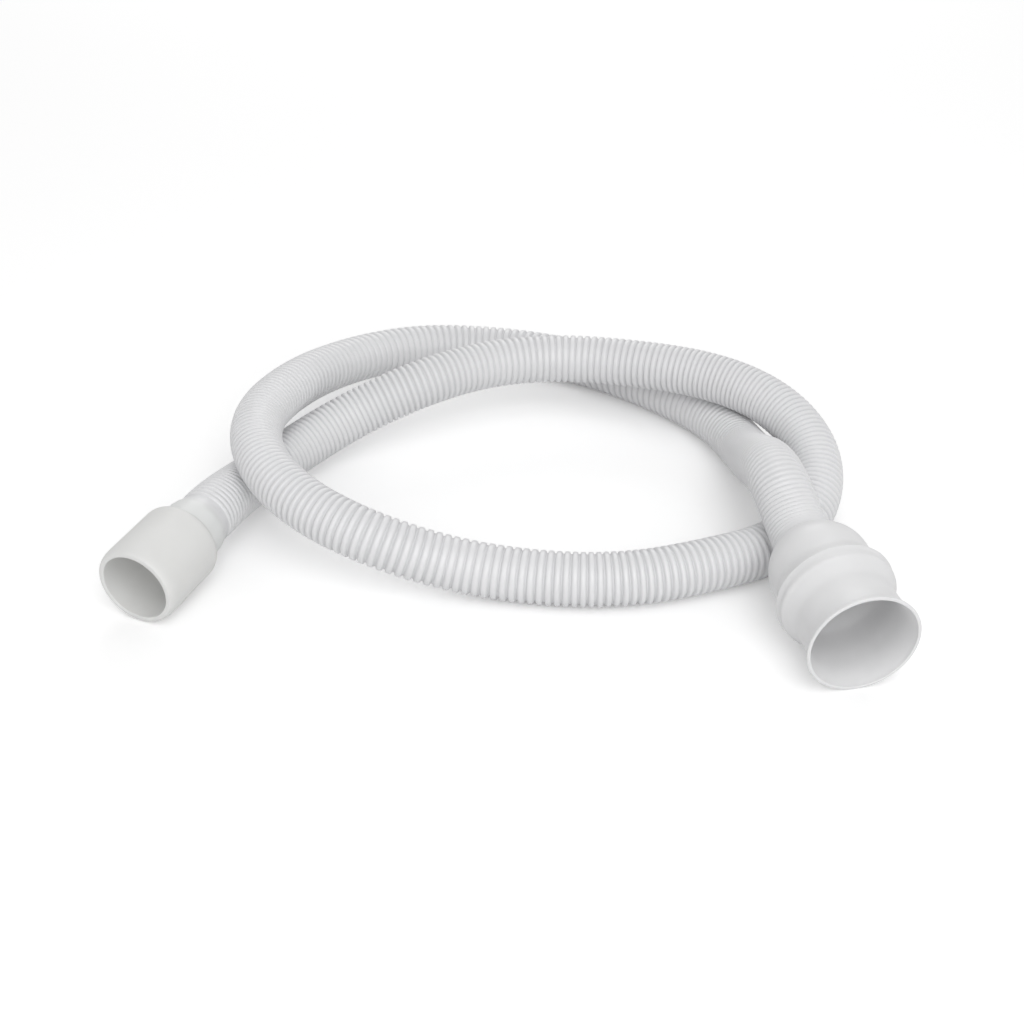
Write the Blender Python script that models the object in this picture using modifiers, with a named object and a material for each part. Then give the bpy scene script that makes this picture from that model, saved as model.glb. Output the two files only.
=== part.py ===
"""Flexible corrugated hose that lies in a loose knot, with a straight cuff and a flared cuff.

The hose crosses itself three times. Each end is pushed into a moulded cuff, up to a stop ledge
inside it. Lengths are in metres, +Z is up, and the hose lies on the plane z = 0.
"""
import math

import bpy
import numpy as np
from mathutils import Vector

OBJECT_NAME = "flexible_hose"
MM = 0.001

# Fits and facets
CLEARANCE = 0.3 * MM
MERGE_DISTANCE = 0.01 * MM
TURNED_STEPS = 40
ARC_STEPS = 6
EASE_STEPS = 6
SMOOTH_ANGLE = math.radians(35.0)

# Hose: crest diameter, through bore, and the smooth collar at the straight cuff
HOSE_DIAMETER = 26.5 * MM
HOSE_BORE = 21.0 * MM
HOSE_SIDES_RESOLUTION = 4
ROUTE_SPACING = 18.0 * MM
COLLAR_WALL = 3.25 * MM
COLLAR_TIP_WALL = 2.15 * MM
COLLAR_LENGTH = 19.0 * MM
COLLAR_STEP = 1.0 * MM

# Straight cuff: a plain barrel with a rounded nose and a rounded shoulder
BARREL_DIAMETER = 41.0 * MM
BARREL_WALL = 3.6 * MM
BARREL_LENGTH = 36.5 * MM
NOSE_ROUNDING = 1.6 * MM
NOSE_LENGTH = 6.0 * MM
SHOULDER_LENGTH = 4.5 * MM
SHOULDER_RIM_WALL = 1.2 * MM
STRAIGHT_STOP_DEPTH = 28.0 * MM

# Flared cuff: lip, waist and band are a thin shell, and the domed neck behind them is solid
LIP_DIAMETER = 52.2 * MM
FLARE_LENGTH = 14.0 * MM
SHELL_WALL = 1.6 * MM
WAIST_DIAMETER = 46.8 * MM
WAIST_END_DEPTH = 19.5 * MM
BAND_DIAMETER = 55.2 * MM
BAND_DEPTH = 33.0 * MM
NECK_DIAMETER = 48.2 * MM
NECK_DEPTH = 45.0 * MM
DOME_DEPTH = 52.0 * MM
FLARED_STOP_DEPTH = 54.0 * MM
FLARED_LENGTH = 71.0 * MM
SLEEVE_RIM_WALL = 1.3 * MM

# Ledge in each cuff that the hose's end stops at
STOP_THICKNESS = 2.0 * MM

# Where each cuff's mouth lies, the way it faces about +Z, and its tilt above the floor
STRAIGHT_MOUTH = (-167.9 * MM, -110.2 * MM)
STRAIGHT_HEADING = math.radians(246.8)
STRAIGHT_TILT = math.radians(-3.5)
FLARED_MOUTH = (159.5 * MM, -161.5 * MM)
FLARED_HEADING = math.radians(-78.1)
FLARED_TILT = math.radians(-4.5)

# The hose's route from the straight cuff to the flared one: x and y in route units, and the gap
# under the hose in hose diameters, so that one strand always passes over another
ROUTE_UNIT = 1.0 * MM
ROUTE = (
    (-128.0, -7.0, 0.16),
    (-108.5, 24.0, 0.18),
    (-79.5, 47.0, 0.50),
    (-40.5, 63.5, 0.93),
    (-3.5, 83.0, 0.99),
    (38.0, 90.5, 0.97),
    (80.0, 81.0, 1.01),
    (116.0, 64.0, 1.05),
    (146.0, 40.5, 0.92),
    (163.5, 6.0, 0.60),
    (161.0, -28.0, 0.28),
    (140.0, -60.0, 0.02),
    (107.0, -80.5, 0.05),
    (66.5, -92.5, 0.03),
    (22.0, -92.0, 0.01),
    (-22.5, -85.5, 0.16),
    (-62.0, -80.5, 0.61),
    (-96.0, -62.0, 0.95),
    (-118.0, -30.5, 1.14),
    (-124.0, 11.0, 1.18),
    (-112.0, 53.5, 1.05),
    (-96.5, 94.5, 0.69),
    (-76.0, 126.5, 0.39),
    (-46.0, 147.5, 0.20),
    (-9.0, 154.5, 0.05),
    (32.5, 144.5, 0.01),
    (69.0, 121.0, 0.03),
    (101.0, 91.5, 0.03),
    (123.5, 60.5, 0.01),
    (133.5, 20.0, 0.18),
    (133.5, -19.5, 0.82),
    (136.5, -57.5, 1.18),
)

# Sizes that follow from the ones above
HOSE_RADIUS = HOSE_DIAMETER / 2
COLLAR_RADIUS = HOSE_RADIUS + COLLAR_WALL
COLLAR_TIP_RADIUS = HOSE_RADIUS + COLLAR_TIP_WALL
STRAIGHT_LENGTH = BARREL_LENGTH + SHOULDER_LENGTH


def clear_scene():
    """Remove every object of the open file."""
    for item in list(bpy.data.objects):
        bpy.data.objects.remove(item, do_unlink=True)


def make_material(name, colour, roughness):
    """A plain non-metallic material in one colour."""
    material = bpy.data.materials.new(name)
    material.use_nodes = True
    shader = material.node_tree.nodes["Principled BSDF"]
    shader.inputs["Base Color"].default_value = (*colour, 1.0)
    shader.inputs["Roughness"].default_value = roughness
    shader.inputs["Metallic"].default_value = 0.0
    return material


def eased(start, end):
    """Points of an S-shaped change of radius from one (depth, radius) pair to the next."""
    (depth_a, radius_a), (depth_b, radius_b) = start, end
    points = []
    for step in range(1, EASE_STEPS + 1):
        share = step / EASE_STEPS
        blend = (1 - math.cos(math.pi * share)) / 2
        points.append((depth_a + (depth_b - depth_a) * share, radius_a + (radius_b - radius_a) * blend))
    return points


def flare(lip, waist):
    """Points of a lip that opens out from a straight waist, from the lip back to the waist."""
    (depth_a, radius_a), (depth_b, radius_b) = lip, waist
    points = []
    for step in range(1, EASE_STEPS + 1):
        share = step / EASE_STEPS
        depth = depth_a + (depth_b - depth_a) * share
        points.append((depth, radius_b + (radius_a - radius_b) * (1 - share) ** 2))
    return points


def domed_fall(start, end):
    """Points of a dome that leaves its start along the axis and steepens to its end."""
    (depth_a, radius_a), (depth_b, radius_b) = start, end
    points = []
    for step in range(1, EASE_STEPS + 1):
        share = step / EASE_STEPS
        points.append((depth_a + (depth_b - depth_a) * share, radius_a + (radius_b - radius_a) * share**2))
    return points


def rounded_nose(start, end):
    """Points of a quarter round from the mouth's flat face out to the barrel."""
    (depth_a, radius_a), (depth_b, radius_b) = start, end
    points = []
    for step in range(1, ARC_STEPS + 1):
        angle = math.pi / 2 * step / ARC_STEPS
        depth = depth_a + (depth_b - depth_a) * (1 - math.cos(angle))
        points.append((depth, radius_a + (radius_b - radius_a) * math.sin(angle)))
    return points


def rounded_shoulder(start, end):
    """Points of a quarter round from the barrel in to its flat rear face."""
    (depth_a, radius_a), (depth_b, radius_b) = start, end
    points = []
    for step in range(1, ARC_STEPS + 1):
        angle = math.pi / 2 * step / ARC_STEPS
        depth = depth_a + (depth_b - depth_a) * math.sin(angle)
        points.append((depth, radius_a + (radius_b - radius_a) * (1 - math.cos(angle))))
    return points


def straight_cuff_outline():
    """Closed outline of the straight cuff, as (depth behind the mouth, radius)."""
    barrel_radius = BARREL_DIAMETER / 2
    bore_radius = barrel_radius - BARREL_WALL
    nose = (0.0, barrel_radius - NOSE_ROUNDING)
    barrel_front = (NOSE_LENGTH, barrel_radius)
    barrel_rear = (BARREL_LENGTH, barrel_radius)
    socket = COLLAR_RADIUS + CLEARANCE
    ledge_rear = STRAIGHT_STOP_DEPTH + STOP_THICKNESS
    outer = [nose] + rounded_nose(nose, barrel_front) + [barrel_rear]
    outer += rounded_shoulder(barrel_rear, (STRAIGHT_LENGTH, socket + SHOULDER_RIM_WALL))
    inner = [
        (STRAIGHT_LENGTH, socket),
        (ledge_rear, socket),
        (ledge_rear, HOSE_BORE / 2),
        (STRAIGHT_STOP_DEPTH, HOSE_BORE / 2),
        (STRAIGHT_STOP_DEPTH, bore_radius),
        (0.0, bore_radius),
    ]
    return outer + inner


def flared_shell(inset):
    """Front of the flared cuff from lip to neck, drawn a wall's depth inside its outer side."""
    lip = (0.0, LIP_DIAMETER / 2 - inset)
    waist_front = (FLARE_LENGTH, WAIST_DIAMETER / 2 - inset)
    waist_end = (WAIST_END_DEPTH, WAIST_DIAMETER / 2 - inset)
    band = (BAND_DEPTH, BAND_DIAMETER / 2 - inset)
    neck = (NECK_DEPTH, NECK_DIAMETER / 2 - inset)
    return [lip] + flare(lip, waist_front) + [waist_end] + eased(waist_end, band) + eased(band, neck)


def flared_cuff_outline():
    """Closed outline of the flared cuff, as (depth behind the mouth, radius)."""
    sleeve = HOSE_RADIUS + CLEARANCE
    ledge_rear = FLARED_STOP_DEPTH + STOP_THICKNESS
    dome = (DOME_DEPTH, NECK_DIAMETER / 2)
    outer = flared_shell(0.0) + [dome]
    outer += domed_fall(dome, (FLARED_LENGTH, sleeve + SLEEVE_RIM_WALL))
    inner = [
        (FLARED_LENGTH, sleeve),
        (ledge_rear, sleeve),
        (ledge_rear, HOSE_BORE / 2),
        (FLARED_STOP_DEPTH, HOSE_BORE / 2),
    ]
    cavity = flared_shell(SHELL_WALL)
    cavity_end = (FLARED_STOP_DEPTH - SHELL_WALL, cavity[-1][1] - SHELL_WALL)
    inner += [(FLARED_STOP_DEPTH, cavity_end[1] - SHELL_WALL), cavity_end]
    return outer + inner + cavity[::-1]


def rest_height(outline, tilt):
    """Height of the mouth's centre at which the tilted outline just touches the floor."""
    return max(radius * math.cos(tilt) + depth * math.sin(tilt) for depth, radius in outline)


def cuff_centre(mouth, outline, tilt):
    """Centre of a cuff's mouth, with the cuff resting on the floor."""
    return Vector((mouth[0], mouth[1], rest_height(outline, tilt)))


def facing(heading, tilt):
    """Unit vector out of a mouth with this heading and tilt."""
    level = math.cos(tilt)
    return Vector((level * math.cos(heading), level * math.sin(heading), math.sin(tilt)))


def turned_piece(name, outline, material):
    """A closed outline turned about local Z, with the mouth's centre at the origin."""
    mesh = bpy.data.meshes.new(name)
    corners = [(radius, 0.0, -depth) for depth, radius in outline]
    edges = [(index, (index + 1) % len(corners)) for index in range(len(corners))]
    mesh.from_pydata(corners, edges, [])
    piece = bpy.data.objects.new(name, mesh)
    screw = piece.modifiers.new("Turn", "SCREW")
    screw.axis = "Z"
    screw.angle = math.tau
    screw.steps = TURNED_STEPS
    screw.render_steps = TURNED_STEPS
    screw.use_merge_vertices = True
    screw.merge_threshold = MERGE_DISTANCE
    screw.use_smooth_shade = True
    mesh.materials.append(material)
    return piece


def smooth_modifier_off_creases(piece):
    """Replace the piece's modifiers by their result, shaded smooth except at creases."""
    graph = bpy.context.evaluated_depsgraph_get()
    mesh = bpy.data.meshes.new_from_object(piece.evaluated_get(graph))
    piece.modifiers.clear()
    piece.data = mesh
    mesh.shade_smooth()
    mesh.set_sharp_from_angle(angle=SMOOTH_ANGLE)


def route_tangents(points, knots, first, last):
    """Tangents that keep a cubic's curvature unbroken at every point it passes."""
    spans = np.diff(knots)
    count = len(points)
    system = np.identity(count)
    wanted = np.zeros((count, 3))
    wanted[0] = first
    wanted[-1] = last
    for index in range(1, count - 1):
        before, after = spans[index - 1], spans[index]
        system[index, index - 1 : index + 2] = (after, 2 * (before + after), before)
        arriving = (points[index] - points[index - 1]) / before
        leaving = (points[index + 1] - points[index]) / after
        wanted[index] = 3 * (after * arriving + before * leaving)
    return np.linalg.solve(system, wanted)


def smooth_route(points, first, last, spacing):
    """Evenly spaced points of the smooth curve through the given ones."""
    points = np.array(points)
    knots = np.concatenate(([0.0], np.cumsum(np.linalg.norm(np.diff(points, axis=0), axis=1))))
    tangents = route_tangents(points, knots, np.array(first), np.array(last))
    samples = []
    for place in np.linspace(0.0, knots[-1], round(knots[-1] / spacing) + 1):
        index = min(int(np.searchsorted(knots, place, side="right")) - 1, len(knots) - 2)
        span = knots[index + 1] - knots[index]
        share = (place - knots[index]) / span
        ahead = (3 - 2 * share) * share**2
        samples.append(
            (1 - ahead) * points[index]
            + ahead * points[index + 1]
            + span * share * (1 - share) ** 2 * tangents[index]
            - span * share**2 * (1 - share) * tangents[index + 1]
        )
    return samples


def hose_centreline():
    """Centreline from stop ledge to stop ledge, as (point, radius) pairs."""
    straight_axis = facing(STRAIGHT_HEADING, STRAIGHT_TILT)
    flared_axis = facing(FLARED_HEADING, FLARED_TILT)
    straight_mouth = cuff_centre(STRAIGHT_MOUTH, straight_cuff_outline(), STRAIGHT_TILT)
    flared_mouth = cuff_centre(FLARED_MOUTH, flared_cuff_outline(), FLARED_TILT)

    collar_end = STRAIGHT_LENGTH + COLLAR_LENGTH
    collar = [
        (STRAIGHT_STOP_DEPTH + STOP_THICKNESS + CLEARANCE, COLLAR_RADIUS),
        (STRAIGHT_LENGTH, COLLAR_RADIUS),
        (collar_end - COLLAR_STEP, COLLAR_TIP_RADIUS),
    ]
    free_start = straight_mouth - straight_axis * collar_end
    free_end = flared_mouth - flared_axis * FLARED_LENGTH
    route = [free_start]
    for x, y, lift in ROUTE:
        route.append((x * ROUTE_UNIT, y * ROUTE_UNIT, HOSE_RADIUS + lift * HOSE_DIAMETER))
    route.append(free_end)
    free = smooth_route(route, -straight_axis, flared_axis, ROUTE_SPACING)

    pushed_in = FLARED_STOP_DEPTH + STOP_THICKNESS + CLEARANCE
    line = [(straight_mouth - straight_axis * depth, radius) for depth, radius in collar]
    line += [(Vector(point), HOSE_RADIUS) for point in free]
    line.append((flared_mouth - flared_axis * pushed_in, HOSE_RADIUS))
    return line


def make_hose(material):
    """The hose as a plain tube along its centreline, without its corrugations."""
    line = hose_centreline()
    curve = bpy.data.curves.new("corrugated_hose", "CURVE")
    curve.dimensions = "3D"
    curve.twist_mode = "MINIMUM"
    curve.bevel_depth = HOSE_RADIUS
    curve.bevel_resolution = HOSE_SIDES_RESOLUTION
    curve.use_fill_caps = True
    spline = curve.splines.new("POLY")
    spline.points.add(len(line) - 1)
    spline.use_smooth = True
    for control, (point, radius) in zip(spline.points, line):
        control.co = (*point, 1.0)
        control.radius = radius / HOSE_RADIUS
    curve.materials.append(material)
    return bpy.data.objects.new("corrugated_hose", curve)


def place_cuff(cuff, mouth, outline, heading, tilt):
    """Lay a cuff on the floor with its local +Z pointing out of its mouth."""
    cuff.location = cuff_centre(mouth, outline, tilt)
    cuff.rotation_euler = (0.0, math.pi / 2 - tilt, heading)


def main():
    """Build the hose and its two cuffs."""
    clear_scene()
    parts = bpy.data.collections.new(OBJECT_NAME)
    bpy.context.scene.collection.children.link(parts)
    layout = bpy.data.objects.new("layout", None)
    parts.objects.link(layout)

    hose_plastic = make_material("hose_plastic", (0.74, 0.75, 0.775), 0.42)
    straight_rubber = make_material("straight_cuff_rubber", (0.71, 0.71, 0.69), 0.5)
    flared_rubber = make_material("flared_cuff_rubber", (0.72, 0.73, 0.74), 0.45)

    straight_outline = straight_cuff_outline()
    straight_cuff = turned_piece("straight_cuff", straight_outline, straight_rubber)
    place_cuff(straight_cuff, STRAIGHT_MOUTH, straight_outline, STRAIGHT_HEADING, STRAIGHT_TILT)

    flared_outline = flared_cuff_outline()
    flared_cuff = turned_piece("flared_cuff", flared_outline, flared_rubber)
    place_cuff(flared_cuff, FLARED_MOUTH, flared_outline, FLARED_HEADING, FLARED_TILT)

    for piece in (make_hose(hose_plastic), straight_cuff, flared_cuff):
        parts.objects.link(piece)
        piece.parent = layout
    bpy.context.view_layer.update()
    for cuff in (straight_cuff, flared_cuff):
        smooth_modifier_off_creases(cuff)


main()
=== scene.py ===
"""Dressed model of a flexible corrugated hose that lies in a loose knot between two moulded cuffs.

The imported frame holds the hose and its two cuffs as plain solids. This script puts a ribbed hose, a
straight cuff and a flared cuff in their places, gives each its finish, and lays them on a pale floor
under soft light.
"""

import logging
import math
from dataclasses import dataclass, field
from enum import Enum
from typing import Any, Iterable, Sequence

import bmesh
import bpy
import numpy as np
from mathutils import Matrix, Vector
from mathutils.geometry import interpolate_bezier


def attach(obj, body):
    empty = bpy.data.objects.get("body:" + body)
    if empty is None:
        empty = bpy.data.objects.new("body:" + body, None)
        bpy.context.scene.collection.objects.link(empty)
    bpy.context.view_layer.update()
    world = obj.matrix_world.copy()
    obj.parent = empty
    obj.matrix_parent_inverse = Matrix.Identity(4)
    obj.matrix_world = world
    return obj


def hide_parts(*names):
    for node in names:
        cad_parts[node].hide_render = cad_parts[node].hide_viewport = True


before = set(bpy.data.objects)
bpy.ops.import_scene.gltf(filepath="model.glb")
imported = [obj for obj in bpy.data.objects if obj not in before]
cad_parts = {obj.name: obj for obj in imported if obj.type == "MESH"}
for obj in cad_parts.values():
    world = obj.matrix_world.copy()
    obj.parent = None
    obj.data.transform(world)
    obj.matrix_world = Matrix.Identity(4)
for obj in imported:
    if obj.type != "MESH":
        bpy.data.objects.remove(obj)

MM = 0.001
HOSE_DIAMETER = 26.5 * MM
HOSE_BORE = 21.0 * MM
COLLAR_RADIUS = 16.5 * MM
SHARP_ANGLE = math.radians(38.0)
log = logging.getLogger("flexible_hose")

Outline = list[tuple[float, float]]


class Value:
    """A node's output socket that takes part in arithmetic."""

    def __init__(self, sheet: "NodeSheet", socket: bpy.types.NodeSocket) -> None:
        """Wrap one socket of one node sheet."""
        self.sheet = sheet
        self.socket = socket

    def math(self, operation: str, *others: Any) -> "Value":
        """Add a Math node that works on this value and up to two others.

        Args:
            operation: The Math node's operation.
            others: Further operands, as numbers or values.

        Returns:
            The result as a value.
        """
        return self.sheet.math(operation, self, *others)

    def __add__(self, other: Any) -> "Value":
        """Sum with a number or value."""
        return self.sheet.math("ADD", self, other)

    def __radd__(self, other: Any) -> "Value":
        """Sum with a number on the left."""
        return self.sheet.math("ADD", other, self)

    def __sub__(self, other: Any) -> "Value":
        """Difference with a number or value."""
        return self.sheet.math("SUBTRACT", self, other)

    def __rsub__(self, other: Any) -> "Value":
        """Difference from a number on the left."""
        return self.sheet.math("SUBTRACT", other, self)

    def __mul__(self, other: Any) -> "Value":
        """Product with a number or value."""
        return self.sheet.math("MULTIPLY", self, other)

    def __rmul__(self, other: Any) -> "Value":
        """Product with a number on the left."""
        return self.sheet.math("MULTIPLY", other, self)

    def __truediv__(self, other: Any) -> "Value":
        """Quotient by a number or value."""
        return self.sheet.math("DIVIDE", self, other)

    def __rtruediv__(self, other: Any) -> "Value":
        """Quotient of a number on the left by this value."""
        return self.sheet.math("DIVIDE", other, self)


class NodeSheet:
    """Writes one node tree, for a shader or for Geometry Nodes."""

    def __init__(self, tree: bpy.types.NodeTree) -> None:
        """Start on a tree."""
        self.tree = tree

    def node(
        self,
        kind: str,
        settings: dict[str, Any] | None = None,
        values: dict[Any, Any] | None = None,
    ) -> bpy.types.Node:
        """Add a node.

        Args:
            kind: The node's type.
            settings: Properties of the node, set before its sockets; "curve" gives a Float Curve
                its points.
            values: Input sockets by name or place, as plain values, sockets or Value objects.

        Returns:
            The new node.
        """
        node = self.tree.nodes.new(kind)
        for name, setting in (settings or {}).items():
            if name == "curve":
                self._fill_curve(node.mapping, setting)
            else:
                setattr(node, name, setting)
        for key, value in (values or {}).items():
            self.feed(node.inputs[key], value)
        return node

    def out(self, node: bpy.types.Node, name: Any = 0) -> Value:
        """One output of a node as a value."""
        return Value(self, node.outputs[name])

    def math(self, operation: str, *operands: Any) -> Value:
        """Add a Math node on up to three operands."""
        places = dict(enumerate(operands))
        return self.out(self.node("ShaderNodeMath", {"operation": operation}, places))

    def vector(self, operation: str, *operands: Any, output: Any = 0, scale: Any = None) -> Value:
        """Add a Vector Math node.

        Args:
            operation: The node's operation.
            operands: Its vectors.
            output: The output that is wanted, by name or place.
            scale: The factor of a SCALE operation.

        Returns:
            The chosen output as a value.
        """
        values = dict(enumerate(operands))
        if scale is not None:
            values["Scale"] = scale
        return self.out(self.node("ShaderNodeVectorMath", {"operation": operation}, values), output)

    def mix_colour(self, factor: Any, first: Any, second: Any) -> Value:
        """Blend two colours by a factor."""
        places = {0: factor, 6: first, 7: second}
        return self.out(self.node("ShaderNodeMix", {"data_type": "RGBA"}, places), 2)

    def ramp(self, value: Any, start: Any, end: Any, low: Any = 0.0, high: Any = 1.0) -> Value:
        """Ease from a low to a high number as a value goes from start to end."""
        places = {0: value, 1: start, 2: end, 3: low, 4: high}
        return self.out(self.node("ShaderNodeMapRange", {"interpolation_type": "SMOOTHSTEP"}, places))

    def feed(self, socket: bpy.types.NodeSocket, value: Any) -> None:
        """Link or set one input socket."""
        if isinstance(value, Value):
            self.tree.links.new(value.socket, socket)
        elif isinstance(value, bpy.types.NodeSocket):
            self.tree.links.new(value, socket)
        elif isinstance(value, tuple) and socket.type == "RGBA" and len(value) == 3:
            socket.default_value = (*value, 1.0)
        else:
            socket.default_value = value

    @staticmethod
    def _fill_curve(mapping: bpy.types.CurveMapping, points: Iterable[tuple[float, float]]) -> None:
        """Give a Float Curve its points."""
        curve = mapping.curves[0]
        first, *between, last = points
        curve.points[0].location = first
        curve.points[1].location = last
        for point in between:
            curve.points.new(*point)
        mapping.update()


class Run(Enum):
    """How an outline reaches a station from the one before it."""

    STRAIGHT = "straight"
    EASED = "eased"
    FLARE = "flare"
    FALL = "fall"
    ROUND_OUT = "round_out"
    ROUND_IN = "round_in"

    def points(self, start: tuple[float, float], end: tuple[float, float], steps: int) -> Outline:
        """Trace the stretch between two stations.

        Args:
            start: Depth and radius of the station before, which is left out.
            end: Depth and radius of the station that is reached.
            steps: Number of points of a curved stretch.

        Returns:
            The stretch's points, ending on the station.
        """
        if self is Run.STRAIGHT:
            return [end]
        traced = []
        for step in range(1, steps + 1):
            share = step / steps
            across, along = self._shares(share)
            depth = start[0] + (end[0] - start[0]) * along
            traced.append((depth, start[1] + (end[1] - start[1]) * across))
        return traced

    def _shares(self, share: float) -> tuple[float, float]:
        """Share of the change in radius and in depth at a share of the stretch."""
        quarter = math.pi / 2 * share
        if self is Run.EASED:
            return (1 - math.cos(math.pi * share)) / 2, share
        if self is Run.FLARE:
            return 1 - (1 - share) ** 2, share
        if self is Run.FALL:
            return share**2, share
        if self is Run.ROUND_OUT:
            return math.sin(quarter), 1 - math.cos(quarter)
        return 1 - math.cos(quarter), math.sin(quarter)


@dataclass(frozen=True)
class Station:
    """A point of a turned outline, with the way the outline reaches it."""

    depth: float
    radius: float
    run: Run = Run.STRAIGHT


@dataclass(frozen=True)
class Ring:
    """A raised bead or a sunk channel that runs round a turned piece."""

    depth: float
    width: float
    height: float

    def lift(self, depth: float) -> float:
        """Height of the ring above the plain outline at a depth."""
        reach = abs(depth - self.depth) / (self.width / 2)
        return self.height * (1 + math.cos(math.pi * min(reach, 1.0))) / 2


@dataclass(frozen=True)
class Lie:
    """Where a cuff lies: its mouth's place on the floor, the way it faces and its tilt."""

    mouth: tuple[float, float]
    heading: float
    tilt: float

    def facing(self) -> Vector:
        """Unit vector out of the mouth."""
        level = math.cos(self.tilt)
        return Vector((level * math.cos(self.heading), level * math.sin(self.heading), math.sin(self.tilt)))

    def centre(self, outline: Outline) -> Vector:
        """Centre of the mouth when the tilted outline just touches the floor."""
        height = max(radius * math.cos(self.tilt) + depth * math.sin(self.tilt) for depth, radius in outline)
        return Vector((*self.mouth, height))

    def matrix(self, outline: Outline) -> Matrix:
        """Matrix that lays a piece turned about +Z, mouth up, in its place."""
        turn = Matrix.Rotation(self.heading, 4, "Z") @ Matrix.Rotation(math.pi / 2 - self.tilt, 4, "Y")
        return Matrix.Translation(self.centre(outline)) @ turn


@dataclass(frozen=True)
class HosePlastic:
    """Satin light grey thermoplastic of the corrugated hose, its grooves darkened by painted shade."""

    name: str = "ribbed_hose_finish"
    crest: tuple[float, float, float] = (0.77, 0.77, 0.78)
    # The groove colour is darker than the crest colour: painted shade in the grooves.
    groove: tuple[float, float, float] = (0.67, 0.672, 0.682)
    collar: tuple[float, float, float] = (0.755, 0.765, 0.757)
    cloud_scale: float = 38.0
    cloud_depth: float = 0.035
    cloud_gloss: float = 0.1
    roughness: float = 0.34
    groove_dulling: float = 0.14
    grain_scale: float = 2600.0
    grain_height: float = 0.12 * MM
    grain_strength: float = 0.25

    def material(self) -> bpy.types.Material:
        """Make the hose's material.

        Returns:
            A material whose grooves are duller than its crests and darker by painted shade, with a plain
            collar.
        """
        material, sheet, shader = new_material(self.name)
        rib = sheet.out(sheet.node("ShaderNodeAttribute", {"attribute_name": "rib"}), "Fac")
        place = sheet.out(sheet.node("ShaderNodeTexCoord"), "Object")
        cloud = noise(sheet, place, self.cloud_scale, 3.0)
        on_collar = sheet.out(sheet.node("ShaderNodeAttribute", {"attribute_name": "collar"}), "Fac")
        # Painted shade: the rib attribute blends towards the darker groove colour down in the grooves.
        ribbed = sheet.mix_colour(rib, self.groove, self.crest)
        plain = sheet.mix_colour(on_collar, ribbed, self.collar)
        shade = 1 + (cloud - 0.5) * (2 * self.cloud_depth)
        tinted = sheet.vector("SCALE", plain, scale=shade)
        grain = noise(sheet, place, self.grain_scale, 2.0)
        dulled = self.roughness + (1 - rib) * self.groove_dulling
        feed(sheet, shader, {
            "Base Color": tinted,
            "Roughness": dulled + (cloud - 0.5) * self.cloud_gloss,
            "Normal": bump(sheet, grain, self.grain_height, self.grain_strength),
        })
        return material


@dataclass(frozen=True)
class CuffRubber:
    """Soft moulded rubber or vinyl of a cuff, with a faintly mottled satin skin."""

    name: str
    colour: tuple[float, float, float]
    shade: tuple[float, float, float]
    roughness: float
    mottle_scale: float = 55.0
    mottle_contrast: float = 2.2
    peel_scale: float = 1400.0
    peel_share: float = 0.6
    drift_scale: float = 160.0
    drift_share: float = 1.6
    drift_gloss: float = 0.16
    skin_height: float = 0.15 * MM
    skin_strength: float = 0.3

    def material(self) -> bpy.types.Material:
        """Make the cuff's material.

        Returns:
            A material that drifts between two near tones, with a fine orange-peel skin.
        """
        material, sheet, shader = new_material(self.name)
        place = sheet.out(sheet.node("ShaderNodeTexCoord"), "Object")
        mottle = noise(sheet, place, self.mottle_scale, 4.0)
        peel = noise(sheet, place, self.peel_scale, 3.0)
        drift = noise(sheet, place, self.drift_scale, 2.0)
        height = peel * self.peel_share + drift * self.drift_share
        spread = sheet.math("MULTIPLY_ADD", mottle - 0.5, self.mottle_contrast, 0.5)
        feed(sheet, shader, {
            "Base Color": sheet.mix_colour(spread.math("MINIMUM", 1.0), self.shade, self.colour),
            "Roughness": self.roughness + (drift - 0.5) * self.drift_gloss,
            "Normal": bump(sheet, height, self.skin_height, self.skin_strength),
        })
        return material


def new_material(name: str) -> tuple[bpy.types.Material, NodeSheet, bpy.types.Node]:
    """Start a material.

    Args:
        name: The material's name.

    Returns:
        The material, its node sheet and its Principled shader.
    """
    material = bpy.data.materials.new(name)
    material.use_nodes = True
    sheet = NodeSheet(material.node_tree)
    return material, sheet, material.node_tree.nodes["Principled BSDF"]


def feed(sheet: NodeSheet, shader: bpy.types.Node, values: dict[str, Any]) -> None:
    """Set or link several sockets of a shader."""
    for name, value in values.items():
        sheet.feed(shader.inputs[name], value)


def noise(sheet: NodeSheet, place: Value, scale: float, detail: float) -> Value:
    """A noise value from 0 to 1 over the piece's own coordinates."""
    settings = {"Vector": place, "Scale": scale, "Detail": detail}
    return sheet.out(sheet.node("ShaderNodeTexNoise", {"noise_dimensions": "3D"}, settings))


def bump(sheet: NodeSheet, height: Value, distance: float, strength: float) -> Value:
    """A normal that follows a height without moving the surface."""
    settings = {"Strength": strength, "Distance": distance, "Height": height}
    return sheet.out(sheet.node("ShaderNodeBump", None, settings))


def link_piece(name: str, mesh: bpy.types.Mesh | bpy.types.Curve) -> bpy.types.Object:
    """Put a mesh or a curve in the scene as an object of that name."""
    piece = bpy.data.objects.new(name, mesh)
    bpy.context.scene.collection.objects.link(piece)
    return piece


def turned_mesh(name: str, outline: Outline, sides: int) -> bpy.types.Mesh:
    """Turn a closed outline about +Z.

    Args:
        name: The mesh's name.
        outline: Depths and radii, down the outer side and back up the inner one.
        sides: Number of sides round the axis.

    Returns:
        A closed mesh with the mouth's centre at its origin.
    """
    count = len(outline)
    corners = []
    for side in range(sides):
        angle = math.tau * side / sides
        corners += [(r * math.cos(angle), r * math.sin(angle), -depth) for depth, r in outline]
    faces = []
    for side in range(sides):
        here, there = side * count, (side + 1) % sides * count
        for step in range(count):
            after = (step + 1) % count
            faces.append((here + step, here + after, there + after, there + step))
    mesh = bpy.data.meshes.new(name)
    mesh.from_pydata(corners, [], faces)
    mesh.validate()
    mesh.shade_smooth()
    mesh.set_sharp_from_angle(angle=SHARP_ANGLE)
    return mesh


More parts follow.
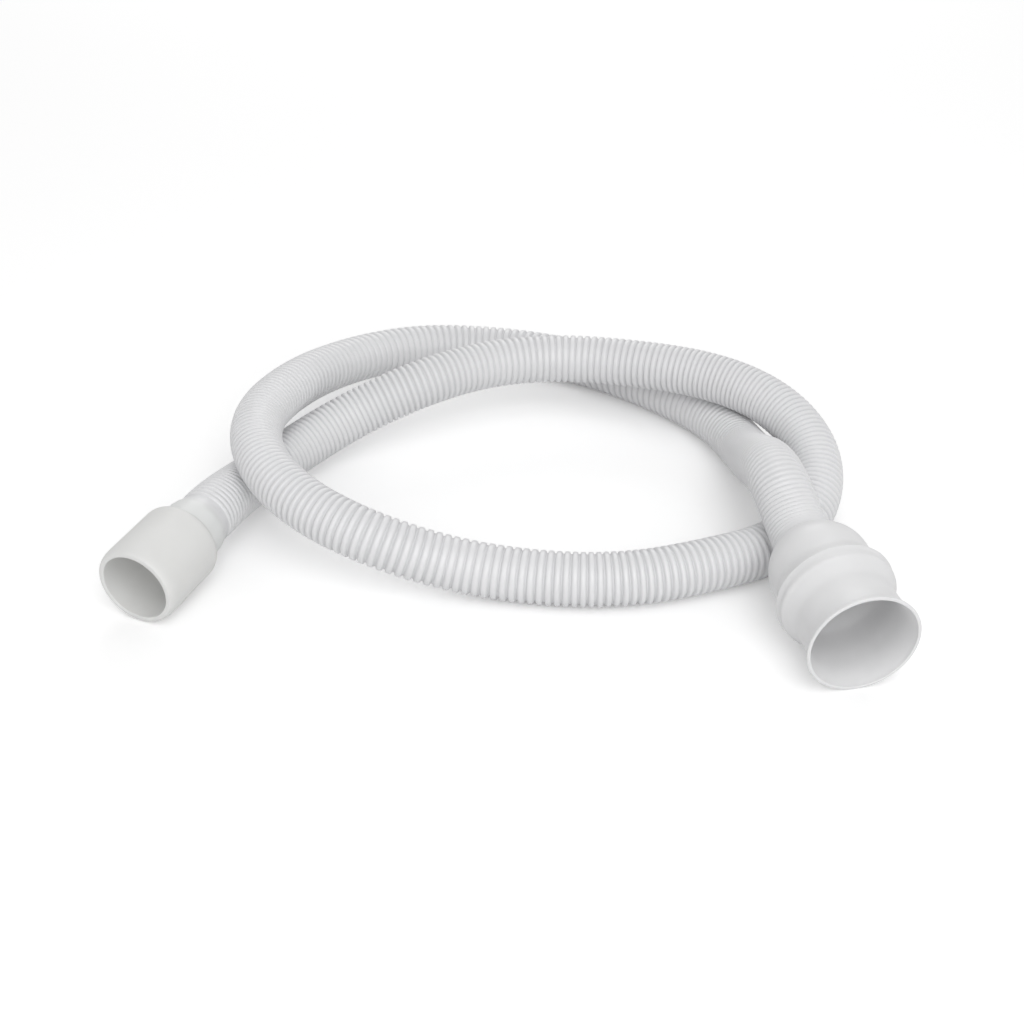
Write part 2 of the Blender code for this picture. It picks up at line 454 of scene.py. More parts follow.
@dataclass
class Cuff:
    """Sizes and steps that both cuffs share."""

    name: str
    slot: str
    lie: Lie
    finish: CuffRubber
    hose_bore: float = HOSE_BORE
    stop_thickness: float = 2.0 * MM
    clearance: float = 0.3 * MM
    sides: int = 128
    arc_steps: int = 14
    ring_spacing: float = 0.5 * MM

    def stations(self) -> list[Station]:
        """Stations of the cuff's closed outline."""
        raise NotImplementedError

    def rings(self) -> list[Ring]:
        """Beads and channels on the cuff's outer side."""
        return []

    def outer_count(self) -> int:
        """How many stations belong to the outer side."""
        raise NotImplementedError

    def outline(self) -> Outline:
        """Trace the closed outline with its beads and channels.

        Returns:
            Depths and radii, down the outer side and back up the inner one.
        """
        stations = self.stations()
        traced = [(stations[0].depth, stations[0].radius)]
        for place, station in enumerate(stations[1:], start=1):
            end = (station.depth, station.radius)
            traced += station.run.points(traced[-1], end, self.arc_steps)
            if place == self.outer_count() - 1:
                traced = self._with_rings(traced)
        return traced

    def _with_rings(self, outer: Outline) -> Outline:
        """Add the beads and channels to the outer side, with points close enough to carry them."""
        rings = self.rings()
        if not rings:
            return outer
        fine: Outline = [outer[0]]
        for (depth_a, radius_a), (depth_b, radius_b) in zip(outer, outer[1:]):
            pieces = max(1, math.ceil(abs(depth_b - depth_a) / self.ring_spacing))
            for piece in range(1, pieces + 1):
                share = piece / pieces
                depth = depth_a + (depth_b - depth_a) * share
                fine.append((depth, radius_a + (radius_b - radius_a) * share))
        return [(depth, radius + sum(ring.lift(depth) for ring in rings)) for depth, radius in fine]

    def build(self) -> bpy.types.Object:
        """Build, place and dress the cuff.

        Returns:
            The finished piece, standing for its CAD node.
        """
        outline = self.outline()
        mesh = turned_mesh(self.name, outline, self.sides)
        mesh.transform(self.lie.matrix(outline))
        mesh.materials.append(self.finish.material())
        piece = link_piece(self.name, mesh)
        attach(piece, "root")
        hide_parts(self.name.removesuffix("_shell"))
        return piece


@dataclass
class StraightCuff(Cuff):
    """Thick barrel with a rounded nose, a rounded shoulder and a plain bore."""

    name: str = "straight_cuff_shell"
    slot: str = "straight_cuff_rubber"
    lie: Lie = Lie((-167.9 * MM, -110.2 * MM), math.radians(246.8), math.radians(-3.5))
    finish: CuffRubber = CuffRubber("straight_cuff_finish", (0.765, 0.765, 0.755), (0.73, 0.73, 0.717), 0.46)
    barrel_radius: float = 20.5 * MM
    bore_radius: float = 16.9 * MM
    barrel_length: float = 36.5 * MM
    nose_radius: float = 18.9 * MM
    nose_length: float = 6.0 * MM
    bore_edge: float = 0.5 * MM
    shoulder_length: float = 4.5 * MM
    rim_wall: float = 1.2 * MM
    stop_depth: float = 28.0 * MM
    collar_radius: float = COLLAR_RADIUS

    @property
    def length(self) -> float:
        """Length from the mouth to the rear rim."""
        return self.barrel_length + self.shoulder_length

    def outer_count(self) -> int:
        """How many stations belong to the outer side."""
        return 4

    def stations(self) -> list[Station]:
        """Stations of the closed outline, from the mouth's flat face round to the bore's edge."""
        socket = self.collar_radius + self.clearance
        ledge_rear = self.stop_depth + self.stop_thickness
        rim = socket + self.rim_wall
        return [
            Station(0.0, self.nose_radius),
            Station(self.nose_length, self.barrel_radius, Run.ROUND_OUT),
            Station(self.barrel_length, self.barrel_radius),
            Station(self.length, rim, Run.ROUND_IN),
            Station(self.length, socket),
            Station(ledge_rear, socket),
            Station(ledge_rear, self.hose_bore / 2),
            Station(self.stop_depth, self.hose_bore / 2),
            Station(self.stop_depth, self.bore_radius - self.bore_edge),
            Station(self.stop_depth - self.bore_edge, self.bore_radius, Run.ROUND_OUT),
            Station(self.bore_edge, self.bore_radius),
            Station(0.0, self.bore_radius + self.bore_edge, Run.ROUND_IN),
        ]


@dataclass
class FlaredCuff(Cuff):
    """Thin flared lip, waist and wide band, closed on the hose by a solid neck."""

    name: str = "flared_cuff_shell"
    slot: str = "flared_cuff_rubber"
    lie: Lie = Lie((159.5 * MM, -161.5 * MM), math.radians(-78.1), math.radians(-4.5))
    finish: CuffRubber = CuffRubber("flared_cuff_finish", (0.785, 0.785, 0.79), (0.75, 0.75, 0.755), 0.42)
    lip_radius: float = 26.1 * MM
    lip_edge: float = 0.4 * MM
    wall: float = 1.6 * MM
    band_wall: float = 4.8 * MM
    flare_length: float = 14.0 * MM
    waist_radius: float = 23.4 * MM
    waist_end: float = 19.5 * MM
    band_radius: float = 27.6 * MM
    band_depth: float = 33.0 * MM
    neck_radius: float = 24.1 * MM
    neck_depth: float = 45.0 * MM
    dome_depth: float = 52.0 * MM
    stop_depth: float = 54.0 * MM
    length: float = 71.0 * MM
    rim_wall: float = 1.3 * MM
    hose_radius: float = HOSE_DIAMETER / 2

    def outer_count(self) -> int:
        """How many stations belong to the outer side."""
        return 8

    def rings(self) -> list[Ring]:
        """Lip bead, and the channel between the band's rear edge and the neck's front edge."""
        return [
            Ring(1.4 * MM, 3.4 * MM, 0.22 * MM),
            Ring(29.3 * MM, 3.2 * MM, 0.2 * MM),
            Ring(32.3 * MM, 4.5 * MM, -0.4 * MM),
            Ring(35.2 * MM, 3.0 * MM, 0.5 * MM),
        ]

    def stations(self) -> list[Station]:
        """Stations of the closed outline, from the lip's outer edge round to its inner edge."""
        sleeve = self.hose_radius + self.clearance
        ledge_rear = self.stop_depth + self.stop_thickness
        floor_radius = self.neck_radius - self.band_wall - 2 * self.wall
        return [
            Station(0.0, self.lip_radius - self.lip_edge),
            Station(self.lip_edge, self.lip_radius - 0.1 * self.lip_edge, Run.ROUND_OUT),
            Station(self.flare_length, self.waist_radius, Run.FLARE),
            Station(self.waist_end, self.waist_radius),
            Station(self.band_depth, self.band_radius, Run.EASED),
            Station(self.neck_depth, self.neck_radius, Run.EASED),
            Station(self.dome_depth, self.neck_radius),
            Station(self.length, sleeve + self.rim_wall, Run.FALL),
            Station(self.length, sleeve),
            Station(ledge_rear, sleeve),
            Station(ledge_rear, self.hose_bore / 2),
            Station(self.stop_depth, self.hose_bore / 2),
            Station(self.stop_depth, floor_radius),
            Station(self.stop_depth - 2 * self.wall, self.neck_radius - self.band_wall, Run.ROUND_OUT),
            Station(self.neck_depth, self.neck_radius - self.band_wall),
            Station(self.band_depth, self.band_radius - self.band_wall, Run.EASED),
            Station(self.waist_end, self.waist_radius - self.wall, Run.EASED),
            Station(self.flare_length, self.waist_radius - self.wall),
            Station(self.lip_edge, self.lip_radius - self.wall, Run.FALL),
            Station(0.0, self.lip_radius - self.wall + self.lip_edge, Run.ROUND_IN),
        ]


class HoseEnd(Enum):
    """The two ends of the hose."""

    STRAIGHT = "straight"
    FLARED = "flared"


@dataclass
class HoseRoute:
    """The line that the hose lies along, from stop ledge to stop ledge.

    Each point gives x and y in millimetres, and how far the hose is lifted off the floor in hose
    diameters.
    """

    straight: StraightCuff
    flared: FlaredCuff
    hose_diameter: float = HOSE_DIAMETER
    collar_reach: float = 19.0 * MM
    points: tuple[tuple[float, float, float], ...] = (
        (-128.0, -7.0, 0.16),
        (-108.5, 24.0, 0.18),
        (-79.5, 47.0, 0.50),
        (-40.5, 63.5, 0.93),
        (-3.5, 83.0, 0.99),
        (38.0, 90.5, 0.97),
        (80.0, 81.0, 1.01),
        (116.0, 64.0, 1.05),
        (146.0, 40.5, 0.92),
        (163.5, 6.0, 0.60),
        (161.0, -28.0, 0.28),
        (140.0, -60.0, 0.02),
        (107.0, -80.5, 0.05),
        (66.5, -92.5, 0.03),
        (22.0, -92.0, 0.01),
        (-22.5, -85.5, 0.16),
        (-62.0, -80.5, 0.61),
        (-96.0, -62.0, 0.95),
        (-118.0, -30.5, 1.14),
        (-124.0, 11.0, 1.18),
        (-112.0, 53.5, 1.05),
        (-96.5, 94.5, 0.69),
        (-76.0, 126.5, 0.39),
        (-46.0, 147.5, 0.20),
        (-9.0, 154.5, 0.05),
        (32.5, 144.5, 0.01),
        (69.0, 121.0, 0.03),
        (101.0, 91.5, 0.03),
        (123.5, 60.5, 0.01),
        (133.5, 20.0, 0.18),
        (133.5, -19.5, 0.82),
        (136.5, -57.5, 1.18),
    )

    def depth_line(self, end: HoseEnd, depth: float) -> Vector:
        """Point on a cuff's axis at a depth behind its mouth."""
        cuff = self.straight if end is HoseEnd.STRAIGHT else self.flared
        return cuff.lie.centre(cuff.outline()) - cuff.lie.facing() * depth

    def knots(self) -> tuple[np.ndarray, np.ndarray]:
        """Points that the free hose passes and the tangents that keep its curvature unbroken.

        Returns:
            The points, and the tangents per metre of chord, as arrays with one row for each.
        """
        radius = self.hose_diameter / 2
        start = self.depth_line(HoseEnd.STRAIGHT, self.straight.length + self.collar_reach)
        end = self.depth_line(HoseEnd.FLARED, self.flared.length)
        route = [(x * MM, y * MM, radius + lift * self.hose_diameter) for x, y, lift in self.points]
        points = np.array([tuple(start), *route, tuple(end)])
        spans = np.linalg.norm(np.diff(points, axis=0), axis=1)
        system = np.identity(len(points))
        wanted = np.zeros_like(points)
        wanted[0] = -self.straight.lie.facing()
        wanted[-1] = self.flared.lie.facing()
        for place in range(1, len(points) - 1):
            before, after = spans[place - 1], spans[place]
            system[place, place - 1 : place + 2] = (after, 2 * (before + after), before)
            arriving = (points[place] - points[place - 1]) / before
            leaving = (points[place + 1] - points[place]) / after
            wanted[place] = 3 * (after * arriving + before * leaving)
        return points, np.linalg.solve(system, wanted)

    def bezier(self) -> list[tuple[Vector, Vector, Vector]]:
        """Bezier points of the whole line as (left handle, point, right handle)."""
        points, tangents = self.knots()
        spans = np.linalg.norm(np.diff(points, axis=0), axis=1)
        first = self.depth_line(HoseEnd.STRAIGHT, self.pushed_in(HoseEnd.STRAIGHT))
        last = self.depth_line(HoseEnd.FLARED, self.pushed_in(HoseEnd.FLARED))
        start_run = (Vector(points[0]) - first).length
        end_run = (last - Vector(points[-1])).length
        reaches = [start_run, *spans, end_run]
        line = [(first, first, first.lerp(Vector(points[0]), 1 / 3))]
        for place, (point, tangent) in enumerate(zip(points, tangents)):
            left = Vector(point - tangent * reaches[place] / 3)
            right = Vector(point + tangent * reaches[place + 1] / 3)
            line.append((left, Vector(point), right))
        line.append((last.lerp(Vector(points[-1]), 1 / 3), last, last))
        return line

    def pushed_in(self, end: HoseEnd) -> float:
        """Depth behind a cuff's mouth at which the hose stops."""
        cuff = self.straight if end is HoseEnd.STRAIGHT else self.flared
        return cuff.stop_depth + cuff.stop_thickness + cuff.clearance

    def path(self, steps: int = 12) -> list[Vector]:
        """Points along the whole line, close enough together to have its length."""
        line = self.bezier()
        path = [line[0][1]]
        for here, there in zip(line, line[1:]):
            path += interpolate_bezier(here[1], here[2], there[0], there[1], steps + 1)[1:]
        return path

    @staticmethod
    def measure(path: Sequence[Vector]) -> float:
        """Length of a path."""
        return sum((b - a).length for a, b in zip(path, path[1:]))


@dataclass
class CorrugatedHose:
    """The ribbed hose, swept along its route by Geometry Nodes.

    The drawn points say, by the share of the ribs that is passed, how far the ribs are pulled apart
    between the tight and the loose pitch. Grooves close up on the inside of a bend, and near a cuff the
    hose swells and its grooves grow faint. The collar edge is counted in ribs before the first groove.
    """

    route: HoseRoute
    finish: HosePlastic = field(default_factory=HosePlastic)
    name: str = "ribbed_hose"
    ribs: int = 388
    rings_per_rib: int = 10
    collar_rings: int = 20
    tight_pitch: float = 2.2 * MM
    loose_pitch: float = 5.2 * MM
    drawn: tuple[tuple[float, float], ...] = (
        (0.0, 0.12), (0.06, 0.25), (0.11, 0.36), (0.15, 0.38), (0.18, 0.6), (0.2, 0.58), (0.24, 0.42),
        (0.27, 0.27), (0.33, 0.36), (0.4, 0.42), (0.45, 0.5), (0.48, 0.68), (0.505, 0.76), (0.53, 0.4),
        (0.56, 0.33), (0.62, 0.28), (0.65, 0.42), (0.685, 1.0), (0.72, 0.68), (0.77, 0.8), (0.8, 0.74),
        (0.83, 0.58), (0.86, 0.38), (0.92, 0.18), (0.97, 0.0), (1.0, 0.0),
    )
    groove_depth: float = 1.3 * MM
    crest_share: float = 0.75
    squareness: float = 4.0
    closing: float = 1.3
    least_open: float = 0.12
    most_open: float = 1.1
    depth_spread: float = 0.06
    collar_radius: float = COLLAR_RADIUS
    collar_tip_radius: float = 15.4 * MM
    collar_edge: tuple[float, float] = (-0.6, -0.15)
    swell: float = 1.1 * MM
    swell_run: float = 140.0 * MM
    full_swell_run: float = 56.0 * MM
    collar_swell_run: float = 70.0 * MM
    sleeve_entry: float = 3.0 * MM
    faintness: float = 0.6
    bore_radius: float = HOSE_BORE / 2
    bore_spacing: float = 14.0 * MM
    sides: int = 24
    line_resolution: int = 96
    seed: int = 11

    def sizes(self) -> dict[str, float]:
        """Named inputs of the node tree, in metres or plain numbers."""
        straight, flared = self.route.straight, self.route.flared
        socket_run = straight.length - self.route.pushed_in(HoseEnd.STRAIGHT)
        return {
            "Ribs": self.ribs,
            "Rings per Rib": self.rings_per_rib,
            "Collar Rings": self.collar_rings,
            "Tight Pitch": self.tight_pitch,
            "Loose Pitch": self.loose_pitch,
            "Crest Radius": self.route.hose_diameter / 2,
            "Groove Depth": self.groove_depth,
            "Crest Share": self.crest_share,
            "Squareness": self.squareness,
            "Closing": self.closing,
            "Least Open": self.least_open,
            "Most Open": self.most_open,
            "Depth Spread": self.depth_spread,
            "Collar Radius": self.collar_radius,
            "Collar Tip Radius": self.collar_tip_radius,
            "Collar Start": socket_run,
            "Ribs Start": socket_run + self.route.collar_reach,
            "Swell": self.swell,
            "Swell Run": self.swell_run,
            "Full Swell Run": self.full_swell_run,
            "Collar Swell Run": self.collar_swell_run,
            "Sleeve Entry": self.sleeve_entry,
            "Faintness": self.faintness,
            "Sleeve Run": flared.length - self.route.pushed_in(HoseEnd.FLARED),
            "Bore Radius": self.bore_radius,
            "Bore Spacing": self.bore_spacing,
            "Sides": self.sides,
            "Seed": self.seed,
        }

    def tree(self, material: bpy.types.Material) -> bpy.types.NodeTree:
        """Write the Geometry Nodes tree that turns a line into the hose.

        Args:
            material: The material that the tree sets on its result.

        Returns:
            The tree, with one named input for each size.
        """
        tree = bpy.data.node_groups.new("ribbed_hose_sweep", "GeometryNodeTree")
        tree.interface.new_socket("Line", in_out="INPUT", socket_type="NodeSocketGeometry")
        for name, size in self.sizes().items():
            kind = "NodeSocketInt" if isinstance(size, int) else "NodeSocketFloat"
            tree.interface.new_socket(name, in_out="INPUT", socket_type=kind)
        tree.interface.new_socket("Hose", in_out="OUTPUT", socket_type="NodeSocketGeometry")
        sheet = NodeSheet(tree)
        given = sheet.node("NodeGroupInput")
        size = {name: sheet.out(given, name) for name in self.sizes()}
        line = sheet.out(given, "Line")

        length = sheet.out(sheet.node("GeometryNodeCurveLength", None, {"Curve": line}))
        rings = size["Ribs"] * size["Rings per Rib"]
        points = size["Collar Rings"] + rings + 1
        even = sheet.node("GeometryNodeResampleCurve", {"mode": "COUNT"}, {
            "Curve": line, "Count": points,
        })
        index = sheet.out(sheet.node("GeometryNodeInputIndex"))
        ring = index - size["Collar Rings"]
        along = self._ring_place(sheet, size, length, ring, ring / rings)
        found = sheet.node("GeometryNodeSampleCurve", {"mode": "LENGTH"}, {
            "Curves": line, "Length": along,
        })
        fine = sheet.node("GeometryNodeSetPosition", None, {
            "Geometry": sheet.out(even), "Position": sheet.out(found, "Position"),
        })
        carried = self._carry(sheet, sheet.out(fine), {
            "Turn": ("FLOAT", ring / size["Rings per Rib"]),
            "Along": ("FLOAT", along),
            "Left": ("FLOAT", length - along),
            "Bend": ("VECTOR", self._bend(sheet, index, along)),
            "Centre": ("VECTOR", sheet.out(sheet.node("GeometryNodeInputPosition"))),
        })
        round_profile = self._circle(sheet, size["Sides"], size["Crest Radius"])
        swept = sheet.node("GeometryNodeCurveToMesh", None, {0: carried["Geometry"], 1: round_profile})
        on_collar = sheet.ramp(carried["Turn"], *self.collar_edge, 1.0, 0.0)
        groove, radius = self._rib_radius(sheet, size, carried, on_collar)
        position = sheet.out(sheet.node("GeometryNodeInputPosition"))
        outward = sheet.vector("NORMALIZE", sheet.vector("SUBTRACT", position, carried["Centre"]))
        target = sheet.vector("ADD", carried["Centre"], sheet.vector("SCALE", outward, scale=radius))
        mask = {"data_type": "FLOAT", "domain": "POINT"}
        # The rib attribute also masks the painted shade in the grooves of the hose's material.
        marked = sheet.node("GeometryNodeStoreNamedAttribute", mask, {
            "Geometry": sheet.out(swept), "Name": "rib", "Value": 1 - groove,
        })
        marked = sheet.node("GeometryNodeStoreNamedAttribute", mask, {
            "Geometry": sheet.out(marked), "Name": "collar", "Value": on_collar,
        })
        outer = sheet.node("GeometryNodeSetPosition", None, {
            "Geometry": sheet.out(marked), "Position": target,
        })

        coarse = sheet.node("GeometryNodeResampleCurve", {"mode": "LENGTH"}, {
            "Curve": line, "Length": size["Bore Spacing"],
        })
        bore_profile = self._circle(sheet, size["Sides"], size["Bore Radius"])
        bore = sheet.node("GeometryNodeCurveToMesh", None, {0: sheet.out(coarse), 1: bore_profile})
        inner = sheet.node("GeometryNodeFlipFaces", None, {"Mesh": sheet.out(bore)})
        joined = sheet.node("GeometryNodeJoinGeometry")
        for part in (outer, inner):
            tree.links.new(part.outputs[0], joined.inputs[0])
        real = sheet.node("GeometryNodeRealizeInstances", None, {0: sheet.out(joined)})
        dressed = sheet.node("GeometryNodeSetMaterial", None, {
            "Geometry": sheet.out(real), "Material": material,
        })
        sheet.node("NodeGroupOutput", None, {0: sheet.out(dressed)})
        return tree

    @staticmethod
    def _circle(sheet: NodeSheet, sides: Value, radius: Value) -> Value:
        """A circle to sweep along the line."""
        return sheet.out(sheet.node("GeometryNodeCurvePrimitiveCircle", None, {
            "Resolution": sides, "Radius": radius,
        }))

    @staticmethod
    def _carry(sheet: NodeSheet, line: Value, fields: dict[str, tuple[str, Value]]) -> dict[str, Value]:
        """Capture fields on the line, so that the swept mesh can read them.

        Args:
            sheet: The node sheet.
            line: The line's geometry.
            fields: Data type and value of each field, by name.

        Returns:
            The line under the name Geometry, and each captured field under its own.
        """
        capture = sheet.node("GeometryNodeCaptureAttribute", {"domain": "POINT"})
        for name, (kind, _) in fields.items():
            capture.capture_items.new(kind, name)
        sheet.feed(capture.inputs[0], line)
        for name, (_, value) in fields.items():
            sheet.feed(capture.inputs[name], value)
        return {"Geometry": sheet.out(capture), **{name: sheet.out(capture, name) for name in fields}}

    def _ring_place(
        self,
        sheet: NodeSheet,
        size: dict[str, Value],
        length: Value,
        ring: Value,
        share: Value,
    ) -> Value:
        """Distance of each ring from the start of the line, with the ribs drawn out unevenly.

        Args:
            sheet: The node sheet.
            size: The tree's inputs.
            length: The line's length.
            ring: Number of each ring, counted from the first rib and negative on the collar.
            share: The ring's share of the ribbed run.

        Returns:
            The distance along the line.
        """
        drawn = sheet.out(sheet.node("ShaderNodeFloatCurve", {"curve": self.drawn}, {"Value": share}))
        pitch = size["Tight Pitch"] + (size["Loose Pitch"] - size["Tight Pitch"]) * drawn
        last_ring = size["Ribs"] * size["Rings per Rib"] - 0.5
        on_ribs = ring.math("GREATER_THAN", -0.5) * ring.math("LESS_THAN", last_ring)
        gathered = sheet.node("GeometryNodeAccumulateField", None, {"Value": pitch * on_ribs})
        covered = sheet.out(gathered, "Trailing") / sheet.out(gathered, "Total")
        collar_share = (0 - ring).math("MAXIMUM", 0.0) / size["Collar Rings"]
        return size["Ribs Start"] * (1 - collar_share) + (length - size["Ribs Start"]) * covered

    @staticmethod
    def _bend(sheet: NodeSheet, index: Value, along: Value) -> Value:
        """Curvature vector of the line, from the tangents on both sides of each point."""
        tangent = sheet.out(sheet.node("GeometryNodeInputTangent"))
        ends = []
        for place in (index + 1, index - 1):
            there = {"data_type": "FLOAT_VECTOR", "domain": "POINT"}
            facing = sheet.node("GeometryNodeFieldAtIndex", there, {"Index": place, "Value": tangent})
            there = {"data_type": "FLOAT", "domain": "POINT"}
            distance = sheet.node("GeometryNodeFieldAtIndex", there, {"Index": place, "Value": along})
            ends.append((sheet.out(facing), sheet.out(distance)))
        (ahead, far), (behind, near) = ends
        return sheet.vector("SCALE", sheet.vector("SUBTRACT", ahead, behind), scale=1 / (far - near))

    @staticmethod
    def _rib_radius(
        sheet: NodeSheet,
        size: dict[str, Value],
        carried: dict[str, Value],
        on_collar: Value,
    ) -> tuple[Value, Value]:
        """Depth share of the grooves and the hose's outer radius at every point of the swept mesh.

        Args:
            sheet: The node sheet.
            size: The tree's inputs.
            carried: The fields captured on the line.
            on_collar: 1 on the smooth collar and 0 on the ribs.

        Returns:
            How deep in a groove a point is, from 0 to 1, and its distance from the line.
        """
        turn = carried["Turn"]
        position = sheet.out(sheet.node("GeometryNodeInputPosition"))
        arm = sheet.vector("SUBTRACT", position, carried["Centre"])
        stretch = 1 - sheet.vector("DOT_PRODUCT", carried["Bend"], arm, output="Value")
        nearest = turn.math("ROUND")
        from_crest = 1 - (turn - nearest).math("ABSOLUTE") * 2
        reach = (from_crest * stretch / size["Crest Share"]).math("MINIMUM", 1.0)
        crest = (1 - reach.math("POWER", size["Squareness"])).math("SQRT")
        groove = (1 - crest) * turn.math("GREATER_THAN", -0.5)
        spread = sheet.node("FunctionNodeRandomValue", {"data_type": "FLOAT"}, {
            2: 1 - size["Depth Spread"],
            3: 1 + size["Depth Spread"],
            "ID": nearest,
            "Seed": size["Seed"],
        })
        open_share = (1 - (1 - stretch) * size["Closing"]).math("MINIMUM", size["Most Open"])
        open_share = open_share.math("MAXIMUM", size["Least Open"])
        past_collar = carried["Along"] - size["Ribs Start"]
        outside = carried["Left"] - size["Sleeve Run"]
        near_sleeve = sheet.ramp(outside, size["Swell Run"], size["Full Swell Run"])
        near_sleeve = near_sleeve * sheet.ramp(outside, 0 - size["Sleeve Entry"], 0.0)
        swollen = near_sleeve + sheet.ramp(past_collar, size["Collar Swell Run"], 0.0)
        groove = groove * open_share * (1 - swollen * size["Faintness"])
        depth = groove * sheet.out(spread, 1) * size["Groove Depth"]

        taper = sheet.out(sheet.node("ShaderNodeMapRange", {"interpolation_type": "LINEAR"}, {
            "Value": carried["Along"],
            "From Min": size["Collar Start"],
            "From Max": size["Ribs Start"],
            "To Min": size["Collar Radius"],
            "To Max": size["Collar Tip Radius"],
        }))
        ribbed = size["Crest Radius"] + swollen * size["Swell"]
        return groove, ribbed + (taper - ribbed) * on_collar - depth

    def line_object(self) -> bpy.types.Object:
        """The route as a Bezier curve object for the node tree to sweep."""
        curve = bpy.data.curves.new("hose_line", "CURVE")
        curve.dimensions = "3D"
        curve.twist_mode = "MINIMUM"
        curve.resolution_u = self.line_resolution
        line = self.route.bezier()
        spline = curve.splines.new("BEZIER")
        spline.bezier_points.add(len(line) - 1)
        for control, (left, point, right) in zip(spline.bezier_points, line):
            control.handle_left_type = "FREE"
            control.handle_right_type = "FREE"
            control.co = point
            control.handle_left = left
            control.handle_right = right
        return link_piece("hose_line", curve)

    def build(self) -> bpy.types.Object:
        """Sweep, close and dress the hose.

        Returns:
            The finished piece, standing for its CAD node.
        """
        material = self.finish.material()
        line = self.line_object()
        sweep = line.modifiers.new("Sweep", "NODES")
        sweep.node_group = self.tree(material)
        sizes = self.sizes()
        for item in sweep.node_group.interface.items_tree:
            if item.in_out == "INPUT" and item.name in sizes:
                sweep[item.identifier] = sizes[item.name]
        graph = bpy.context.evaluated_depsgraph_get()
        mesh = bpy.data.meshes.new_from_object(line.evaluated_get(graph))
        bpy.data.objects.remove(line, do_unlink=True)
        mesh.name = self.name
        self._close_ends(mesh)
        mesh.shade_smooth()
        piece = link_piece(self.name, mesh)
        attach(piece, "root")
        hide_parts("corrugated_hose")
        return piece

    def _close_ends(self, mesh: bpy.types.Mesh) -> None:
        """Join the outer wall to the bore with a flat ring at each end."""
        shape = bmesh.new()
        shape.from_mesh(mesh)
        rims = [edge for edge in shape.edges if edge.is_boundary]
        path = self.route.path()
        for end in (path[0], path[-1]):
            near = [edge for edge in rims if (edge.verts[0].co - end).length < 2 * self.collar_radius]
            bmesh.ops.bridge_loops(shape, edges=near)
        bmesh.ops.recalc_face_normals(shape, faces=shape.faces)
        shape.to_mesh(mesh)
        shape.free()


@dataclass(frozen=True)
class Lamp:
    """A square soft light: where it hangs in metres, the length of its side and its power in watts."""

    name: str
    place: tuple[float, float, float]
    side: float
    power: float


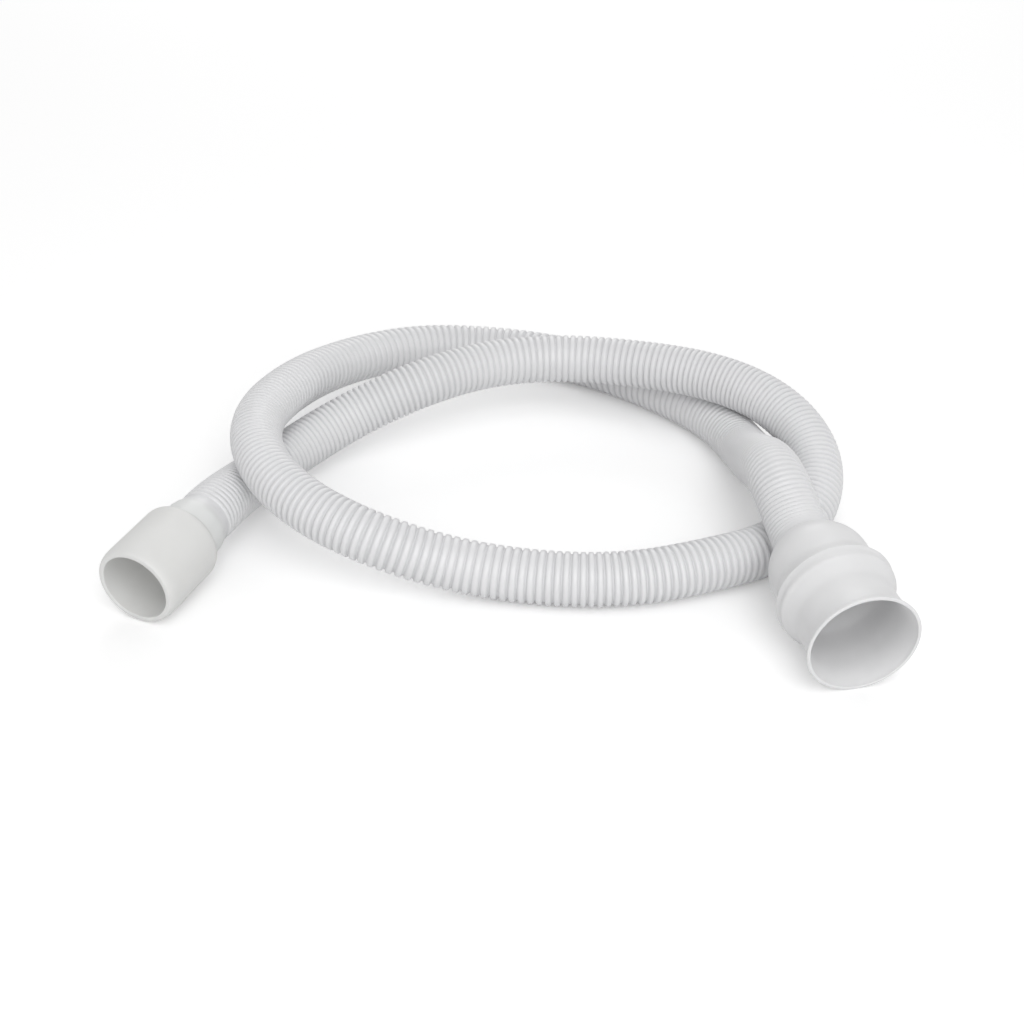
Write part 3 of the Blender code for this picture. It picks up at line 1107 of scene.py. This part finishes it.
@dataclass
class Studio:
    """Camera, floor and soft light."""

    image_width: float = 1024.0
    focal_pixels: float = 1522.0
    sensor_width: float = 36.0
    camera_place: tuple[float, float, float] = (0.007, -0.689, 0.42335)
    camera_pitch: float = math.radians(32.0)
    floor_half: float = 2.5
    floor_tone: float = 0.9
    seen_floor_tone: float = 0.98
    floor_lift: float = 0.19
    ambient: float = 0.54
    lamps: tuple[Lamp, ...] = (
        Lamp("camera_box", (0.1, -1.7, 1.1), 1.2, 9.5),
        Lamp("side_box", (0.9, -1.5, 0.9), 1.0, 2.4),
        Lamp("high_box", (0.4, -1.1, 1.8), 1.2, 8.5),
        Lamp("back_box", (0.0, 2.0, 1.2), 1.2, 7.8),
    )

    def camera(self) -> bpy.types.Object:
        """Place the camera at the photograph's viewing angle."""
        data = bpy.data.cameras.new("view")
        data.sensor_fit = "HORIZONTAL"
        data.sensor_width = self.sensor_width
        data.lens = self.focal_pixels / self.image_width * self.sensor_width
        data.clip_start = 0.01
        camera = bpy.data.objects.new("view", data)
        camera.location = self.camera_place
        camera.rotation_euler = (math.pi / 2 - self.camera_pitch, 0.0, 0.0)
        bpy.context.scene.collection.objects.link(camera)
        bpy.context.scene.camera = camera
        return camera

    def floor(self) -> bpy.types.Object:
        """Lay a wide pale floor that keeps the hose's shadow."""
        half = self.floor_half
        mesh = bpy.data.meshes.new("pale_floor")
        corners = [(-half, -half, 0.0), (half, -half, 0.0), (half, half, 0.0), (-half, half, 0.0)]
        mesh.from_pydata(corners, [], [(0, 1, 2, 3)])
        material, sheet, shader = new_material("pale_floor")
        seen = sheet.out(sheet.node("ShaderNodeLightPath"), "Is Camera Ray")
        lift = (self.floor_lift,) * 3
        feed(sheet, shader, {
            "Base Color": sheet.mix_colour(seen, (self.floor_tone,) * 3, (self.seen_floor_tone,) * 3),
            "Roughness": 1.0,
            "Specular IOR Level": 0.0,
            "Emission Color": sheet.mix_colour(seen, (0.0, 0.0, 0.0), lift),
            "Emission Strength": 1.0,
        })
        mesh.materials.append(material)
        floor = link_piece("pale_floor", mesh)
        return floor

    def world(self) -> None:
        """Surround the scene with even light that shows as white."""
        world = bpy.data.worlds.new("surround")
        world.use_nodes = True
        bpy.context.scene.world = world
        tree = world.node_tree
        tree.nodes.clear()
        sheet = NodeSheet(tree)
        path = sheet.node("ShaderNodeLightPath")
        seen = sheet.out(path, "Is Camera Ray").math("MAXIMUM", sheet.out(path, "Is Glossy Ray"))
        seen = seen.math("MAXIMUM", sheet.out(path, "Is Transmission Ray"))
        soft = sheet.node("ShaderNodeBackground", None, {"Color": (1.0, 1.0, 1.0), "Strength": self.ambient})
        white = sheet.node("ShaderNodeBackground", None, {"Color": (1.0, 1.0, 1.0), "Strength": 1.0})
        mixed = sheet.node("ShaderNodeMixShader", None, {0: seen, 1: sheet.out(soft), 2: sheet.out(white)})
        sheet.node("ShaderNodeOutputWorld", None, {"Surface": sheet.out(mixed)})

    def softbox(self, lamp: Lamp) -> bpy.types.Object:
        """Hang a soft light that faces the hose.

        Args:
            lamp: The light to hang.

        Returns:
            The light's object.
        """
        data = bpy.data.lights.new(lamp.name, "AREA")
        data.shape = "SQUARE"
        data.size = lamp.side
        data.energy = lamp.power
        light = bpy.data.objects.new(lamp.name, data)
        light.location = lamp.place
        light.rotation_euler = Vector(lamp.place).to_track_quat("Z", "Y").to_euler()
        bpy.context.scene.collection.objects.link(light)
        return light

    def build(self) -> None:
        """Set up everything that isn't the object."""
        self.camera()
        self.floor()
        self.world()
        for lamp in self.lamps:
            self.softbox(lamp)
        bpy.context.scene.view_settings.view_transform = "Standard"


def report(piece: bpy.types.Object) -> None:
    """Log a piece's name, triangle count and size."""
    mesh = piece.data
    triangles = sum(len(face.vertices) - 2 for face in mesh.polygons)
    size = [round(side * 1000, 1) for side in piece.dimensions]
    log.info("%s: %d triangles, %s mm", piece.name, triangles, size)


def main() -> None:
    """Build the hose and its cuffs in their places and set the stage."""
    logging.basicConfig(level=logging.INFO, format="%(message)s")
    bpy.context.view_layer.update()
    Studio().build()

    straight, flared = StraightCuff(), FlaredCuff()
    route = HoseRoute(straight, flared)
    hose = CorrugatedHose(route).build()
    straight_piece = straight.build()
    flared_piece = flared.build()
    path = route.path()
    tuple(route.depth_line(HoseEnd.STRAIGHT, straight.length))
    bpy.context.view_layer.update()
    for piece in (hose, straight_piece, flared_piece):
        report(piece)


if __name__ == "__main__":
    main()
